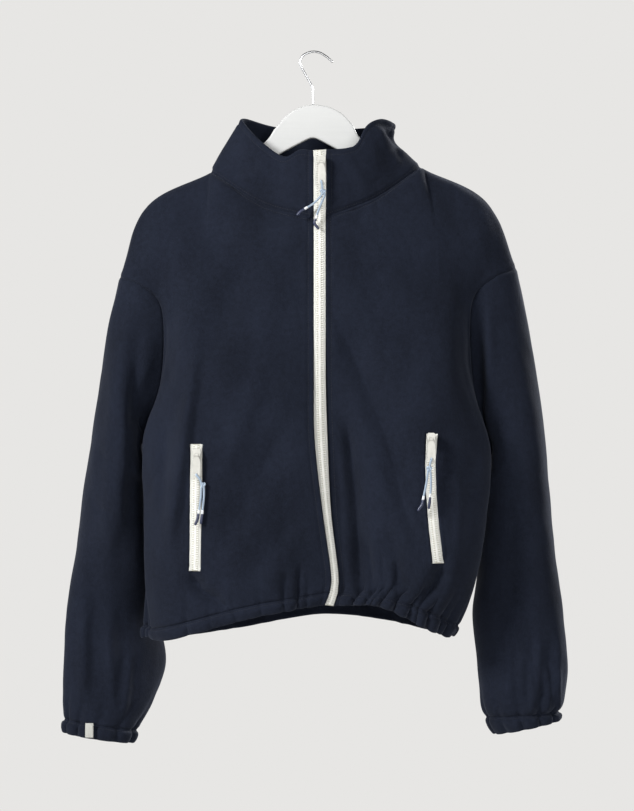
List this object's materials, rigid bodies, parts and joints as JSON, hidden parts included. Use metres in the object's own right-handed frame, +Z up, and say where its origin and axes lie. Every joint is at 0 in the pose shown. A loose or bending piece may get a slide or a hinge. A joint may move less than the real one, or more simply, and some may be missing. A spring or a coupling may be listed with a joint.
{
  "type": "fleece jacket",
  "caption": "Fleece jacket with a stand collar, full-length front zip, zipped pockets and gathered hem and cuffs, hanging on a flat wooden hanger with a wire hook.",
  "frame": {"origin": "where a rail or peg meets the underside of the hanger hook's crown", "axes": "+X to the viewer's right, +Y away from the viewer, +Z up"},
  "size_m": [0.607, 0.1852, 0.8317],
  "materials": {
    "fleece": "matt navy knitted fleece",
    "zip_tape": "woven off-white tape",
    "zip_plastic": "satin off-white moulded plastic",
    "cord": "light blue braided cord",
    "cord_tip": "dark navy moulded tip",
    "label": "folded off-white woven tape",
    "painted_wood": "white satin paint",
    "hook_wire": "bright wire"
  },
  "bodies": {
    "jacket": {"front_left": "fleece", "pocket_zip_left": "zip_plastic", "front_right": "fleece", "pocket_zip_right": "zip_plastic", "back": "fleece", "sleeve_left": "fleece", "sleeve_right": "fleece", "collar": "fleece", "hem_front_left": "fleece", "hem_front_right": "fleece", "hem_back": "fleece", "cuff_left": "fleece", "cuff_right": "fleece", "zip_tape_left": "zip_tape", "zip_tape_right": "zip_tape", "zip_chain": "zip_plastic", "slider_front": "zip_plastic", "slider_left": "zip_plastic", "slider_right": "zip_plastic", "cuff_label": "label", "hanger_board": "painted_wood", "hanger_hook": "hook_wire"},
    "front_pull": {"pull_tab_front": "zip_plastic", "cord_loop_front": "cord", "cord_knot_front": "cord", "cord_tail_front_a": "cord", "cord_tip_front_a": "cord_tip", "cord_tail_front_b": "cord", "cord_tip_front_b": "cord_tip"},
    "left_pocket_pull": {"pull_tab_left": "zip_plastic", "cord_loop_left": "cord", "cord_knot_left": "cord", "cord_tail_left_a": "cord", "cord_tip_left_a": "cord_tip", "cord_tail_left_b": "cord", "cord_tip_left_b": "cord_tip"},
    "right_pocket_pull": {"pull_tab_right": "zip_plastic", "cord_loop_right": "cord", "cord_knot_right": "cord", "cord_tail_right_a": "cord", "cord_tip_right_a": "cord_tip", "cord_tail_right_b": "cord", "cord_tip_right_b": "cord_tip"}
  },
  "joints": [
    {"name": "front_pull_hinge", "type": "hinge", "parent": "jacket", "child": "front_pull", "pos_m": [0.0099, -0.05935, -0.136], "axis": [-1, 0, 0], "range_deg": [0, 150]},
    {"name": "left_pocket_pull_hinge", "type": "hinge", "parent": "jacket", "child": "left_pocket_pull", "pos_m": [-0.1353, -0.0983, -0.4805], "axis": [-1, 0, 0], "range_deg": [0, 150]},
    {"name": "right_pocket_pull_hinge", "type": "hinge", "parent": "jacket", "child": "right_pocket_pull", "pos_m": [0.1376, -0.10412, -0.462], "axis": [-1, 0, 0], "range_deg": [0, 150]}
  ]
}
